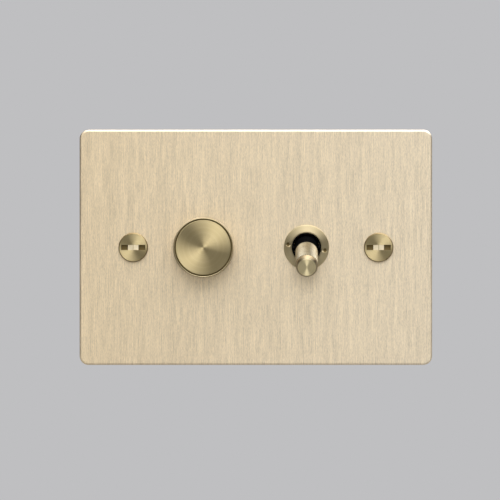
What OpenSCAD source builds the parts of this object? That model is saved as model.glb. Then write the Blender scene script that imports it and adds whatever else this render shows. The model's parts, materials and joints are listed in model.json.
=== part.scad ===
// Brass wall plate that carries a push-and-turn dimmer and a toggle switch.
// x runs along the plate, z is up and y runs into the wall. All sizes are in millimetres.
// The origin is the centre of the plate's back face, which lies on the wall.

/* [Plate] */
// Width of the plate
plate_w = 120; // [116:1:130]
// Height of the plate
plate_h = 80; // [76:1:90]
// Thickness of the plate
plate_t = 3; // [2.8:0.1:4]
// Radius of the plate's corners
plate_corner_r = 3; // [1.5:0.5:6]
// Distance between the two fixing screws
fixing_pitch = 83.5; // [83:0.5:86]
// Place of the dimmer's axis along the plate
dimmer_x = -17.8; // [-18.2:0.1:-17.4]
// Place of the toggle's axis along the plate
toggle_x = 17.2; // [16.8:0.1:17.8]

/* [Dimmer knob] */
// Outer diameter over the knurl
knob_d = 20.7; // [20:0.1:24]
// Length of the knob
knob_l = 14; // [13:0.5:18]
// Gap between the knob and the plate
knob_gap = 1.8; // [1.7:0.1:3]
// Travel of the knob when it is pressed
knob_press = 1.2; // [0.8:0.1:1.4]

/* [Toggle] */
// Outer diameter of the ring nut
ring_d = 15.3; // [15:0.1:18]
// Diameter over the lever's knurl
lever_d = 7.65; // [7:0.05:7.7]
// Distance from the lever's pivot to its tip
lever_reach = 19.7; // [18:0.1:26]
// Tilt of the lever to either side of the middle
lever_tilt = 20; // [16:1:20]

/* [Fixing screws] */
// Diameter of the screw heads
head_d = 10; // [9:0.5:12]
// Height of the screw heads
head_h = 2; // [1.8:0.1:3]
// Length of thread behind the wall face
thread_l = 27; // [20:1:40]

/* [Modules] */
// Depth of the dimmer behind the wall face
dimmer_depth = 26; // [26:1:30]
// Depth of the toggle module behind the wall face
toggle_depth = 27; // [27:1:30]

/* [Hidden] */
$fn = 64;

// Colours
BRUSHED_BRASS = [0.85, 0.77, 0.61];
TURNED_BRASS = [0.66, 0.58, 0.38];
BRASS = [0.78, 0.64, 0.32];
ZINC = [0.72, 0.73, 0.74];
ALUMINIUM = [0.8, 0.8, 0.82];
BLACK_NYLON = [0.05, 0.05, 0.05];
BLACK_PHENOLIC = [0.09, 0.09, 0.1];
PALE_PLASTIC = [0.86, 0.85, 0.82];
COPPER = [0.76, 0.45, 0.27];
SILVER = [0.88, 0.88, 0.86];
SPRING_STEEL = [0.55, 0.56, 0.58];
CIRCUIT_GREEN = [0.1, 0.35, 0.2];
PHENOLIC_BROWN = [0.45, 0.3, 0.16];
CARBON = [0.08, 0.08, 0.08];
FERRITE = [0.2, 0.21, 0.22];
FILM_YELLOW = [0.88, 0.72, 0.2];

// Plate and strap
front_y = -plate_t;             // face of the plate
strap_w = 104;
strap_h = 60;
strap_t = 1.2;                  // also the depth of the recess that holds the strap
strap_corner_r = 2;
recess_margin = 1;
panel_t = 1.5;                  // heat sink and toggle cover
panel_corner_r = 1;
flange_t = 1.5;                 // flanges of both threaded necks
fixing_x = fixing_pitch / 2;
fixing_hole_r = 2.3;
edge_chamfer = 0.3;

// Fixing screws
thread_r = 1.75;
neck_under_head_r = 1.45;       // thinner than the thread, so that the retainer holds the screw
thread_tip = 0.8;
slot_half_l = 4.1;              // the slot in the head
slot_half_w = 0.88;
slot_bridge_half_l = 1.75;      // the raised bridge that interrupts the slot
slot_bridge_depth = 0.3;
slot_depth = 1.2;
retainer_r = 4.2;
retainer_hole_r = 4.5;
retainer_gap = 0.05;

// Terminal blocks, drawn with the wire hole opening towards -z and the screw coming from +y
block_w = 7;
block_l = 7;
block_t = 6.5;
wire_r = 1.6;
wire_depth = 5.8;
wire_y = 2.5;
clamp_r = 1.25;
clamp_tip_y = 4.3;
clamp_gap = 0.6;                // the head stands off an open terminal
clamp_head_r = 2.1;
clamp_head_h = 1.4;
small_slot_w = 0.6;
small_slot_depth = 0.7;
earth_x = 35.2;
earth_mouth_z = -21;

// Dimmer, along its own axis
neck_r = 5;
neck_hole_r = 5.15;
washer_r = 7.2;
washer_t = 0.5;
nut_flats = 13;
nut_t = 2.2;
nut_corner_r = nut_flats / 2 / cos(30);
nut_front_y = front_y - washer_t - nut_t;
neck_front_y = nut_front_y - 0.8;
flange_r = 7.5;
spindle_r = 3;
spindle_bore_r = 3.04;          // running fit in the bushing
spindle_flat = 2.2;             // distance of the flats from the axis
spindle_pin_r = 1.6;
knob_r = knob_d / 2;
knob_back_y = front_y - knob_gap;
knob_front_y = knob_back_y - knob_l;
knob_cavity_r = nut_corner_r + 0.5;
knob_cavity_y = knob_back_y - 4.2;
knob_rim_r = knob_r - 0.6;      // inner radius of the rim around the face
face_groove = 0.45;
face_t = 2;
face_step_t = 1;
spindle_front_y = knob_front_y + 3.6;
grub_r = 1.5;
grub_y = knob_front_y + 5;
grub_socket_r = 0.75;

pot_half = 8.5;
pot_front_y = panel_t + flange_t;
pot_cavity_y = pot_front_y + 1.4;
pot_cavity_r = 7.4;
rotor_y = pot_cavity_y + 0.3;
rotor_t = 2.2;
rotor_r = 6;
rotor_bore_r = 3.1;
rotor_flat = 2.3;
rotor_lug_r = 7.2;
pot_back_y = pot_front_y + 5;
wafer_t = 1.2;
track_t = 0.15;
track_r = [4.2, 5.8];
pcb_y = pot_back_y + wafer_t;
pcb_t = 1.6;
pcb_w = 34;
pcb_h = 40;
spindle_back_y = pcb_y - knob_press - 0.3;
switch_y = pcb_y + pcb_t;       // mounting face of the push switch
switch_half = 6;
switch_l = 8;
switch_lip_t = 1;
switch_lip_r = 2;
switch_cavity_r = 3.3;
plunger_front_y = switch_y + 1.2;
piston_r = 3;
piston_t = 2;
piston_tail_r = 1;
switch_floor_y = switch_y + switch_l - 1;

dimmer_w = 38;
dimmer_h = 44;
dimmer_wall = 1.8;
ear_w = 8;
ear_l = 5;
ear_t = 2.5;
dimmer_ear_x = 13;
ear_screw_r = 1.25;
ear_screw_head_r = 2.1;
ear_screw_head_h = 1.4;
dimmer_block_x = [-10, 0, 10];
dimmer_block_y = dimmer_depth - 10;
dimmer_mouth_z = -(dimmer_h / 2 - dimmer_wall - 0.2);
entry_r = 2;
access_r = 2.5;
leg_r = 0.7;
leg_hole_r = 0.8;
choke_at = [-8.8, 12.6];        // x and z on the board
choke_r = [3.6, 6.6];
choke_y = [switch_y + 0.6, switch_y + 7.4];
winding_t = 0.5;
winding_turns = 16;
triac_at = [-3.6, 14.5];        // x of the body's middle and z of its axis
triac_half = 5;
triac_tab_t = 1.3;
triac_hole_x = -9.7;            // from the body's middle

// Toggle, along its own axis
toggle_w = 24;
toggle_h = 38;
toggle_wall = 1.6;
toggle_neck_r = 6;
toggle_neck_hole_r = 6.15;
toggle_bore_r = 5;
toggle_flange_r = 8.5;
ring_t = 1.4;
ring_lip_t = 0.6;
ring_front_y = front_y - ring_t;
ring_fall = 0.35;               // how far the ring's face slopes back towards its edge
ring_chamfer = 0.25;
ring_bore_chamfer = 0.25;
spanner_hole_r = 0.7;
spanner_hole_depth = 0.7;
spanner_pcr = 6.35;
spanner_turn = 9;               // degrees that the pair of holes lies off level
liner_r = 4.55;
pivot_y = ring_front_y + 2.5;
pivot_pin_r = 0.8;
pivot_bore_r = 0.84;            // running fit on the pin
pivot_bore_half_l = 5;
pivot_pin_half_l = 5.9;
ball_r = 4.2;
stem_r = 2;
lever_r = lever_d / 2;
sleeve_start = 4.5;             // distances along the lever are measured from the pivot
cap_l = 2.2;
cap_r = lever_r - 0.17;
cap_chamfer = 0.6;
sleeve_end = lever_reach - cap_l;
stub_r = 1.25;                  // the stem's end, which the cap screws on to
stub_l = 1.3;
tail_r = 2.5;
tail_start = 3;
tail_end = 9.5;
tail_bore_r = 1.55;
tail_bore_start = 4.5;
plunger_r = 1.4;
plunger_start = 7.9;
plunger_tip = 13;

rocker_tilt = 7;                // to either side of the middle
rocker_half_w = 3;
rocker_gap = 0.15;              // between the plunger's tip and the rocker
rocker_face_r = 8;              // radius of the rocker's hollow face
rocker_t = 1.2;
rocker_valley_y = pivot_y + plunger_tip + rocker_gap;
rocker_centre_y = rocker_valley_y - rocker_face_r;
rocker_trough_z = 6.2;          // where the hollow face ends and the arms begin
rocker_arm_z = 9.8;
rocker_arm_y = rocker_centre_y + sqrt(pow(rocker_face_r, 2) - pow(rocker_trough_z, 2));
fulcrum_y = rocker_valley_y + 2.25;
fulcrum_r = 1;
fulcrum_bore_r = 1.06;
saddle_half = 2;
contact_z = 8.3;
contact_r = 1.5;
contact_t = 0.8;
strip_t = 0.8;
strip_x = [-6, 1.6];
strip_y = fulcrum_y - 1.3;
toggle_block_y = toggle_depth - 11;
toggle_mouth_z = toggle_h / 2 - toggle_wall - 0.2;
line_x = -5;
common_x = 6;

// Helpers

// Draws an outline, given in x and z, from depth y0 to depth y1.
module slab(y0, y1) {
    translate([0, y1, 0]) rotate([90, 0, 0]) linear_extrude(y1 - y0) children();
}

// Turns an outline, given as radius and depth, about the y axis.
module turned() {
    rotate([-90, 0, 0]) rotate_extrude() children();
}

module rod(y0, y1, r) {
    translate([0, y0, 0]) rotate([-90, 0, 0]) cylinder(h = y1 - y0, r = r);
}

module cross_rod(x0, x1, r) {
    translate([x0, 0, 0]) rotate([0, 90, 0]) cylinder(h = x1 - x0, r = r);
}

// A box given by its ranges in x, y and z.
module block(x, y, z) {
    translate([x[0], y[0], z[0]]) cube([x[1] - x[0], y[1] - y[0], z[1] - z[0]]);
}

module rounded_outline(w, h, r) {
    square([w, h - 2 * r], center = true);
    square([w - 2 * r, h], center = true);
    for (sx = [-1, 1], sz = [-1, 1])
        translate([sx * (w / 2 - r), sz * (h / 2 - r)]) circle(r);
}

module at_dimmer() {
    translate([dimmer_x, 0, 0]) children();
}

module at_toggle() {
    translate([toggle_x, 0, 0]) children();
}

// Carries a piece of the lever, drawn with its tip towards -y and its pivot at 0, to its rest tilt.
module in_lever() {
    translate([toggle_x, pivot_y, 0]) rotate([lever_tilt, 0, 0]) children();
}

// Carries a piece of the rocker, drawn level, to its rest tilt about the fulcrum.
module in_rocker() {
    translate([toggle_x, fulcrum_y, 0]) rotate([-rocker_tilt, 0, 0]) translate([0, -fulcrum_y, 0])
        children();
}

// A coil about the y axis, of mean radius r and of wire with that radius, swept ring by ring.
module coil(r, wire, y0, y1, turns) {
    sides = 8;
    steps = 14;
    rings = turns * steps;
    rise = (y1 - y0 - 2 * wire) / rings;
    points = [for (i = [0:rings]) for (j = [0:sides - 1])
        let (a = 360 * i / steps, c = 360 * j / sides, rr = r + wire * cos(c))
            [rr * cos(a), y0 + wire + rise * i + wire * sin(c), rr * sin(a)]];
    walls = [for (i = [0:rings - 1]) for (j = [0:sides - 1])
        let (a = i * sides + j, b = i * sides + (j + 1) % sides) each
            [[a, b, b + sides], [a, b + sides, a + sides]]];
    caps = [[for (j = [sides - 1:-1:0]) j], [for (j = [0:sides - 1]) rings * sides + j]];
    polyhedron(points, concat(walls, caps));
}

// A slotted screw along y: its shank runs from tip_y to head_y and its head lies behind that.
module slotted_screw(tip_y, head_y, r, head_r, head_h) {
    difference() {
        union() {
            rod(tip_y, head_y + 0.01, r);
            rod(head_y, head_y + head_h, head_r);
        }
        block([-head_r, head_r], [head_y + head_h - small_slot_depth, head_y + head_h + 1],
            [-small_slot_w / 2, small_slot_w / 2]);
    }
}

// A clamp block whose wire hole opens at z = 0 towards -z.
module terminal_block() {
    difference() {
        block([-block_w / 2, block_w / 2], [0, block_t], [0, block_l]);
        translate([0, wire_y, -1]) cylinder(h = wire_depth + 1, r = wire_r);
        translate([0, 0, block_l / 2]) rod(wire_y, block_t + 1, clamp_r);
    }
}

module clamp_screw() {
    translate([0, 0, block_l / 2])
        slotted_screw(clamp_tip_y, block_t + clamp_gap, clamp_r, clamp_head_r, clamp_head_h);
}

// Places a terminal so that its mouth is at z, and faces up if z is above the middle.
module at_mouth(x, y, z) {
    translate([x, y, z]) mirror([0, 0, z > 0 ? 1 : 0]) children();
}

// Plate, strap and fixings

module front_plate() {
    color(BRUSHED_BRASS) difference() {
        union() {
            slab(front_y + edge_chamfer, 0) rounded_outline(plate_w, plate_h, plate_corner_r);
            slab(front_y, front_y + edge_chamfer) rounded_outline(
                plate_w - 2 * edge_chamfer, plate_h - 2 * edge_chamfer, plate_corner_r - edge_chamfer);
        }
        slab(-strap_t, 1)
            rounded_outline(strap_w + 2 * recess_margin, strap_h + 2 * recess_margin, strap_corner_r);
        at_dimmer() rod(front_y - 1, 1, neck_hole_r);
        at_toggle() rod(front_y - 1, 1, toggle_neck_hole_r);
        for (s = [-1, 1]) translate([s * fixing_x, 0, 0]) rod(front_y - 1, 1, fixing_hole_r);
    }
}

module mounting_strap() {
    color(ZINC) difference() {
        slab(-strap_t, 0) rounded_outline(strap_w, strap_h, strap_corner_r);
        at_dimmer() rod(-strap_t - 1, 1, neck_hole_r);
        at_toggle() rod(-strap_t - 1, 1, toggle_neck_hole_r);
        for (s = [-1, 1]) translate([s * fixing_x, 0, 0]) rod(-strap_t - 1, 1, retainer_hole_r);
    }
}

module fixing_screw() {
    chamfer = 0.25;
    head_y = front_y - head_h;
    color(TURNED_BRASS) difference() {
        turned() polygon([
            [0, head_y], [head_d / 2 - chamfer, head_y],
            [head_d / 2, head_y + chamfer], [head_d / 2, front_y], [neck_under_head_r, front_y],
            [neck_under_head_r, 0], [thread_r, 0], [thread_r, thread_l - thread_tip],
            [thread_r - thread_tip, thread_l], [0, thread_l]
        ]);
        block([-slot_half_l, slot_half_l], [head_y - 1, head_y + slot_bridge_depth],
            [-slot_half_w, slot_half_w]);
        for (s = [0, 1]) mirror([s, 0, 0])
            block([slot_bridge_half_l, slot_half_l], [head_y - 1, head_y + slot_depth],
                [-slot_half_w, slot_half_w]);
    }
}

module fixing_screw_left() {
    translate([-fixing_x, 0, 0]) fixing_screw();
}

module fixing_screw_right() {
    translate([fixing_x, 0, 0]) fixing_screw();
}

// Nylon washers that lie in the strap and keep the fixing screws in the plate
module screw_retainers() {
    color(BLACK_NYLON) for (s = [-1, 1]) translate([s * fixing_x, 0, 0]) difference() {
        rod(-strap_t, 0, retainer_r);
        rod(-strap_t - 1, 1, neck_under_head_r + retainer_gap);
    }
}

module earth_terminal() {
    color(BRASS) at_mouth(earth_x, 0, earth_mouth_z) terminal_block();
}

module earth_screw() {
    color(ZINC) at_mouth(earth_x, 0, earth_mouth_z) clamp_screw();
}

// Dimmer: knob and spindle

module knob_body() {
    chamfer = 0.4;
    rim_front_y = knob_front_y + 0.15;
    color(TURNED_BRASS) at_dimmer() difference() {
        turned() polygon([
            [0, spindle_front_y], [spindle_r, spindle_front_y], [spindle_r, knob_cavity_y],
            [knob_cavity_r, knob_cavity_y], [knob_cavity_r, knob_back_y],
            [knob_r - chamfer, knob_back_y], [knob_r, knob_back_y - chamfer],
            [knob_r, rim_front_y + chamfer], [knob_r - chamfer, rim_front_y],
            [knob_rim_r, rim_front_y], [knob_rim_r, knob_front_y + face_t],
            [0, knob_front_y + face_t]
        ]);
        translate([0, grub_y, -knob_r - 1]) cylinder(h = knob_r + 1, r = grub_r);
    }
}

module knob_face() {
    chamfer = 0.15;
    face_r = knob_rim_r - face_groove;
    color(TURNED_BRASS) at_dimmer() turned() polygon([
        [0, knob_front_y], [face_r - chamfer, knob_front_y], [face_r, knob_front_y + chamfer],
        [face_r, knob_front_y + face_step_t], [knob_rim_r, knob_front_y + face_step_t],
        [knob_rim_r, knob_front_y + face_t], [0, knob_front_y + face_t]
    ]);
}

module knob_grub_screw() {
    socket_depth = 1.5;
    sunk = 0.8;
    outer_z = sunk - knob_r;
    color(SPRING_STEEL) at_dimmer() translate([0, grub_y, 0]) difference() {
        translate([0, 0, outer_z]) cylinder(h = -outer_z - spindle_flat, r = grub_r);
        translate([0, 0, outer_z - 1]) cylinder(h = socket_depth + 1, r = grub_socket_r, $fn = 6);
    }
}

module spindle() {
    flat_end_y = grub_y + 3;
    clear = spindle_r + 1;
    color(ZINC) at_dimmer() difference() {
        union() {
            rod(spindle_front_y, spindle_back_y, spindle_r);
            rod(spindle_back_y - 0.01, plunger_front_y, spindle_pin_r);
        }
        block([-clear, clear], [spindle_front_y - 1, flat_end_y], [-clear, -spindle_flat]);
        block([-clear, clear], [pot_front_y + 0.2, pcb_y], [spindle_flat, clear]);
    }
}

// Dimmer: fixing to the plate

module dimmer_bushing() {
    color(ZINC) at_dimmer() difference() {
        union() {
            rod(neck_front_y, panel_t + 0.01, neck_r);
            rod(panel_t, panel_t + flange_t, flange_r);
        }
        rod(neck_front_y - 1, panel_t + flange_t + 1, spindle_bore_r);
    }
}

module dimmer_nut() {
    color(ZINC) at_dimmer() difference() {
        translate([0, nut_front_y, 0]) rotate([-90, 0, 0])
            cylinder(h = nut_t, r = nut_corner_r, $fn = 6);
        rod(nut_front_y - 1, front_y + 1, neck_r);
    }
}

module dimmer_washer() {
    color(ZINC) at_dimmer() difference() {
        rod(front_y - washer_t, front_y, washer_r);
        rod(front_y - washer_t - 1, front_y + 1, neck_r);
    }
}

module heat_sink() {
    color(ALUMINIUM) at_dimmer() difference() {
        slab(0, panel_t) rounded_outline(dimmer_w, dimmer_h + 2 * ear_l, panel_corner_r);
        rod(-1, panel_t + 1, neck_hole_r);
        for (sx = [-1, 1], sz = [-1, 1])
            translate([sx * dimmer_ear_x, 0, sz * (dimmer_h + ear_l) / 2])
                rod(-1, panel_t + 1, ear_screw_r);
        translate([triac_at[0] + triac_hole_x, 0, triac_at[1]]) rod(-1, panel_t + 1, ear_screw_r);
    }
}

// Open box with its mouth on the panel, ears for the screws, and holes for wires and screwdriver
module dimmer_case() {
    inner_w = dimmer_w - 2 * dimmer_wall;
    inner_h = dimmer_h - 2 * dimmer_wall;
    floor_y = dimmer_depth - dimmer_wall;
    corner_r = 1.5;
    rib_t = 1.5;
    rib_half_h = 3;
    color(PALE_PLASTIC) at_dimmer() difference() {
        union() {
            difference() {
                slab(panel_t, dimmer_depth) rounded_outline(dimmer_w, dimmer_h, corner_r);
                block([-inner_w, inner_w] / 2, [panel_t - 1, floor_y], [-inner_h, inner_h] / 2);
            }
            for (s = [-1, 1])
                translate([s * (inner_w - rib_t) / 2, 0, 0])
                    block([-rib_t, rib_t] / 2, [switch_y, floor_y + 0.1],
                        [-rib_half_h, rib_half_h]);
            for (sx = [-1, 1], sz = [-1, 1])
                translate([sx * dimmer_ear_x, 0, sz * (dimmer_h + ear_l - 0.2) / 2])
                    block([-ear_w, ear_w] / 2, [panel_t, panel_t + ear_t],
                        [-ear_l - 0.2, ear_l + 0.2] / 2);
        }
        for (sx = [-1, 1], sz = [-1, 1])
            translate([sx * dimmer_ear_x, 0, sz * (dimmer_h + ear_l) / 2])
                rod(panel_t - 1, panel_t + ear_t + 1, ear_screw_r);
        for (x = dimmer_block_x) {
            translate([x, dimmer_block_y + wire_y, -dimmer_h / 2 - 1])
                cylinder(h = dimmer_wall + 2, r = entry_r);
            translate([x, 0, dimmer_mouth_z + block_l / 2]) rod(floor_y - 1, dimmer_depth + 1, access_r);
        }
    }
}

module case_screws() {
    seat_y = panel_t + ear_t;
    color(ZINC) at_dimmer() for (sx = [-1, 1], sz = [-1, 1])
        translate([sx * dimmer_ear_x, 0, sz * (dimmer_h + ear_l) / 2])
            slotted_screw(0.1, seat_y, ear_screw_r, ear_screw_head_r, ear_screw_head_h);
}

// Dimmer: potentiometer

module pot_housing() {
    stop_half_w = 2.2;
    stop_gap = 0.4;
    color(ZINC) at_dimmer() {
        difference() {
            slab(pot_front_y, pot_back_y) square(2 * pot_half, center = true);
            rod(pot_cavity_y, pot_back_y + 1, pot_cavity_r);
            rod(pot_front_y - 1, pot_back_y, spindle_r + 0.2);
        }
        block([-stop_half_w, stop_half_w], [pot_cavity_y - 0.1, rotor_y + rotor_t],
            [-pot_cavity_r - 0.2, -rotor_r - stop_gap]);
    }
}

module wiper_rotor() {
    lug_half_w = 1;
    clear = rotor_bore_r + 1;
    color(BLACK_NYLON) at_dimmer() {
        difference() {
            rod(rotor_y, rotor_y + rotor_t, rotor_r);
            difference() {
                rod(rotor_y - 1, rotor_y + rotor_t + 1, rotor_bore_r);
                block([-clear, clear], [rotor_y - 2, rotor_y + rotor_t + 2], [rotor_flat, clear]);
            }
        }
        block([-lug_half_w, lug_half_w], [rotor_y, rotor_y + rotor_t], [rotor_r - 0.5, rotor_lug_r]);
    }
}

module wiper_contact() {
    back_y = rotor_y + rotor_t;
    ring_r = [3.6, 5.4];
    ring_t = 0.3;
    tip_r = 0.35;
    tip_z = (track_r[0] + track_r[1]) / 2;
    color(COPPER) at_dimmer() {
        difference() {
            rod(back_y, back_y + ring_t, ring_r[1]);
            rod(back_y - 1, back_y + ring_t + 1, ring_r[0]);
        }
        translate([0, 0, tip_z])
            rod(back_y + ring_t - 0.01, pot_back_y - track_t - 0.05, tip_r);
    }
}

// The track is open at the bottom, where the wiper can't reach.
module carbon_track() {
    gap_half_w = 4;
    gap_z = -7;
    color(CARBON) at_dimmer() slab(pot_back_y - track_t, pot_back_y) difference() {
        circle(track_r[1]);
        circle(track_r[0]);
        polygon([[0, 0], [-gap_half_w, gap_z], [gap_half_w, gap_z]]);
    }
}

module resistor_wafer() {
    color(PHENOLIC_BROWN) at_dimmer() difference() {
        slab(pot_back_y, pot_back_y + wafer_t) square(2 * pot_half, center = true);
        rod(pot_back_y - 1, pot_back_y + wafer_t + 1, spindle_r + 0.4);
    }
}

// Dimmer: circuit board and what stands on it

module pcb() {
    color(CIRCUIT_GREEN) at_dimmer() difference() {
        slab(pcb_y, pcb_y + pcb_t) square([pcb_w, pcb_h], center = true);
        rod(pcb_y - 1, pcb_y + pcb_t + 1, spindle_pin_r + 0.6);
        for (x = dimmer_block_x)
            translate([x, 0, dimmer_mouth_z + block_l / 2])
                rod(pcb_y - 1, pcb_y + pcb_t + 1, leg_hole_r);
    }
}

module push_switch_case() {
    color(BLACK_PHENOLIC) at_dimmer() difference() {
        block([-switch_half, switch_half], [switch_y, switch_y + switch_l],
            [-switch_half, switch_half]);
        rod(switch_y - 1, switch_floor_y, switch_lip_r);
        rod(switch_y + switch_lip_t, switch_floor_y, switch_cavity_r);
    }
}

module switch_plunger() {
    piston_back_y = plunger_front_y + piston_t;
    color(SILVER) at_dimmer() {
        rod(plunger_front_y, piston_back_y, piston_r);
        rod(piston_back_y - 0.01, piston_back_y + 2, piston_tail_r);
    }
}

module return_spring() {
    mean_r = 2.2;
    wire = 0.25;
    color(SPRING_STEEL) at_dimmer()
        coil(mean_r, wire, plunger_front_y + piston_t, switch_floor_y, turns = 4);
}

module choke_core() {
    color(FERRITE) at_dimmer() translate([choke_at[0], 0, choke_at[1]]) difference() {
        rod(choke_y[0], choke_y[1], choke_r[1]);
        rod(choke_y[0] - 1, choke_y[1] + 1, choke_r[0]);
    }
}

// Each turn is a square loop round the core's section.
module choke_winding() {
    half_w = 0.4;
    t = winding_t;
    color(COPPER) at_dimmer() translate([choke_at[0], 0, choke_at[1]])
        for (i = [0:winding_turns - 1]) rotate([0, 360 * i / winding_turns, 0]) difference() {
            block([choke_r[0] - t, choke_r[1] + t], [choke_y[0] - t, choke_y[1] + t], [-half_w, half_w]);
            block([choke_r[0] - 0.1, choke_r[1] + 0.1], choke_y, [-half_w - 1, half_w + 1]);
        }
}

module capacitor() {
    body_x = [1.5, 16];
    body_z = [8, 15];
    body_t = 11;
    color(FILM_YELLOW) at_dimmer() block(body_x, [switch_y, switch_y + body_t], body_z);
}

module thermal_fuse() {
    body_x = [3, 14];
    body_r = 1.2;
    end_r = 1.35;
    end_l = 1.5;
    axis_y = switch_y + 1.6;
    axis_z = 17.8;
    color(SILVER) at_dimmer() translate([0, axis_y, axis_z]) {
        cross_rod(body_x[0], body_x[1], body_r);
        for (x = [body_x[0] - end_l, body_x[1]]) cross_rod(x, x + end_l, end_r);
    }
}

// Power switch lying on the heat sink, with its legs bent towards the board
module triac() {
    body_t = 4.4;
    tab_end_x = -12.7;
    leg_pitch = 2.54;
    leg_half_w = 0.4;
    leg_t = 0.6;
    leg_y = panel_t + 2;
    leg_end_x = 8;
    color(BLACK_PHENOLIC) at_dimmer() translate([triac_at[0], 0, triac_at[1]]) {
        block([-triac_half, triac_half], [panel_t, panel_t + body_t], [-triac_half, triac_half]);
        difference() {
            block([tab_end_x, 0.1 - triac_half], [panel_t, panel_t + triac_tab_t], [-triac_half, triac_half]);
            translate([triac_hole_x, 0, 0])
                rod(panel_t - 1, panel_t + triac_tab_t + 1, ear_screw_r + 0.3);
        }
        for (s = [-1, 0, 1]) translate([0, 0, s * leg_pitch]) {
            block([triac_half - 0.1, leg_end_x], [leg_y, leg_y + leg_t], [-leg_half_w, leg_half_w]);
            block([leg_end_x - leg_t, leg_end_x], [leg_y, pcb_y], [-leg_half_w, leg_half_w]);
        }
    }
}

module triac_screw() {
    color(ZINC) at_dimmer() translate([triac_at[0] + triac_hole_x, 0, triac_at[1]])
        slotted_screw(0.1, panel_t + triac_tab_t, ear_screw_r, ear_screw_head_r, ear_screw_head_h);
}

module dimmer_terminals() {
    color(BRASS) at_dimmer() for (x = dimmer_block_x) {
        at_mouth(x, dimmer_block_y, dimmer_mouth_z) terminal_block();
        translate([x, 0, dimmer_mouth_z + block_l / 2])
            rod(pcb_y - 0.5, dimmer_block_y + 0.1, leg_r);
    }
}

module dimmer_terminal_screws() {
    color(ZINC) at_dimmer() for (x = dimmer_block_x)
        at_mouth(x, dimmer_block_y, dimmer_mouth_z) clamp_screw();
}

// Toggle: fixing to the plate

module ring_nut() {
    ring_r = ring_d / 2;
    edge_y = ring_front_y + ring_fall;
    color(TURNED_BRASS) at_toggle() difference() {
        turned() polygon([
            [toggle_bore_r + ring_bore_chamfer, ring_front_y], [ring_r - ring_chamfer, edge_y],
            [ring_r, edge_y + ring_chamfer], [ring_r, front_y], [toggle_neck_r, front_y],
            [toggle_neck_r, ring_front_y + ring_lip_t], [toggle_bore_r, ring_front_y + ring_lip_t],
            [toggle_bore_r, ring_front_y + ring_bore_chamfer]
        ]);
        for (s = [0, 180]) rotate([0, spanner_turn + s, 0]) translate([spanner_pcr, 0, 0])
            rod(ring_front_y - 1, ring_front_y + spanner_hole_depth, spanner_hole_r);
    }
}

module toggle_neck() {
    color(BLACK_PHENOLIC) at_toggle() difference() {
        union() {
            rod(ring_front_y + ring_lip_t, panel_t + 0.01, toggle_neck_r);
            rod(panel_t, panel_t + flange_t, toggle_flange_r);
        }
        rod(ring_front_y, panel_t + flange_t + 1, toggle_bore_r);
        translate([0, pivot_y, 0]) cross_rod(-pivot_pin_half_l, pivot_pin_half_l, pivot_pin_r);
    }
}

// Black sleeve that lines the neck around the pivot ball
module socket_liner() {
    color(BLACK_NYLON) at_toggle() difference() {
        rod(ring_front_y + ring_lip_t + 0.1, panel_t, toggle_bore_r);
        rod(ring_front_y, panel_t + 1, liner_r);
        translate([0, pivot_y, 0]) cross_rod(-pivot_pin_half_l, pivot_pin_half_l, pivot_pin_r);
    }
}

module pivot_pin() {
    color(SPRING_STEEL) at_toggle() translate([0, pivot_y, 0])
        cross_rod(-pivot_pin_half_l, pivot_pin_half_l, pivot_pin_r);
}

module toggle_cover() {
    color(ZINC) at_toggle() difference() {
        slab(0, panel_t) rounded_outline(toggle_w, toggle_h + 2 * ear_l, panel_corner_r);
        rod(-1, panel_t + 1, toggle_neck_hole_r);
        for (s = [-1, 1]) translate([0, 0, s * (toggle_h + ear_l) / 2]) rod(-1, panel_t + 1, ear_screw_r);
    }
}

module toggle_housing() {
    inner_w = toggle_w - 2 * toggle_wall;
    inner_h = toggle_h - 2 * toggle_wall;
    floor_y = toggle_depth - toggle_wall;
    corner_r = 1.5;
    color(BLACK_PHENOLIC) at_toggle() difference() {
        union() {
            slab(panel_t, toggle_depth) rounded_outline(toggle_w, toggle_h, corner_r);
            for (s = [-1, 1]) translate([0, 0, s * (toggle_h + ear_l - 0.2) / 2])
                block([-ear_w, ear_w] / 2, [panel_t, panel_t + ear_t], [-ear_l - 0.2, ear_l + 0.2] / 2);
        }
        block([-inner_w, inner_w] / 2, [panel_t - 1, floor_y], [-inner_h, inner_h] / 2);
        for (s = [-1, 1]) translate([0, 0, s * (toggle_h + ear_l) / 2])
            rod(panel_t - 1, panel_t + ear_t + 1, ear_screw_r);
        for (p = [[line_x, 1], [line_x, -1], [common_x, -1]]) {
            translate([p[0], toggle_block_y + wire_y, p[1] * toggle_h / 2])
                cylinder(h = 2 * toggle_wall + 1, r = entry_r, center = true);
            translate([p[0], 0, p[1] * (toggle_mouth_z - block_l / 2)])
                rod(floor_y - 1, toggle_depth + 1, access_r);
        }
    }
}

module housing_screws() {
    seat_y = panel_t + ear_t;
    color(ZINC) at_toggle() for (s = [-1, 1]) translate([0, 0, s * (toggle_h + ear_l) / 2])
        slotted_screw(0.1, seat_y, ear_screw_r, ear_screw_head_r, ear_screw_head_h);
}

// Toggle: lever

module lever_stem() {
    color(ZINC) in_lever() difference() {
        turned() polygon([
            [0, -sleeve_end - stub_l], [stub_r, -sleeve_end - stub_l], [stub_r, -sleeve_end],
            [stem_r, -sleeve_end], [stem_r, tail_start], [tail_r, tail_start], [tail_r, tail_end],
            [tail_bore_r, tail_end], [tail_bore_r, tail_bore_start], [0, tail_bore_start]
        ]);
        cross_rod(-pivot_bore_half_l, pivot_bore_half_l, pivot_bore_r);
    }
}

module pivot_ball() {
    flat_y = 2.9;                   // the ball ends in a flat above the tail
    color(BLACK_NYLON) in_lever() difference() {
        intersection() {
            sphere(ball_r);
            rod(-ball_r, flat_y, ball_r + 1);
        }
        rod(-ball_r - 1, ball_r + 1, stem_r);
        cross_rod(-pivot_bore_half_l, pivot_bore_half_l, pivot_bore_r);
    }
}

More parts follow.
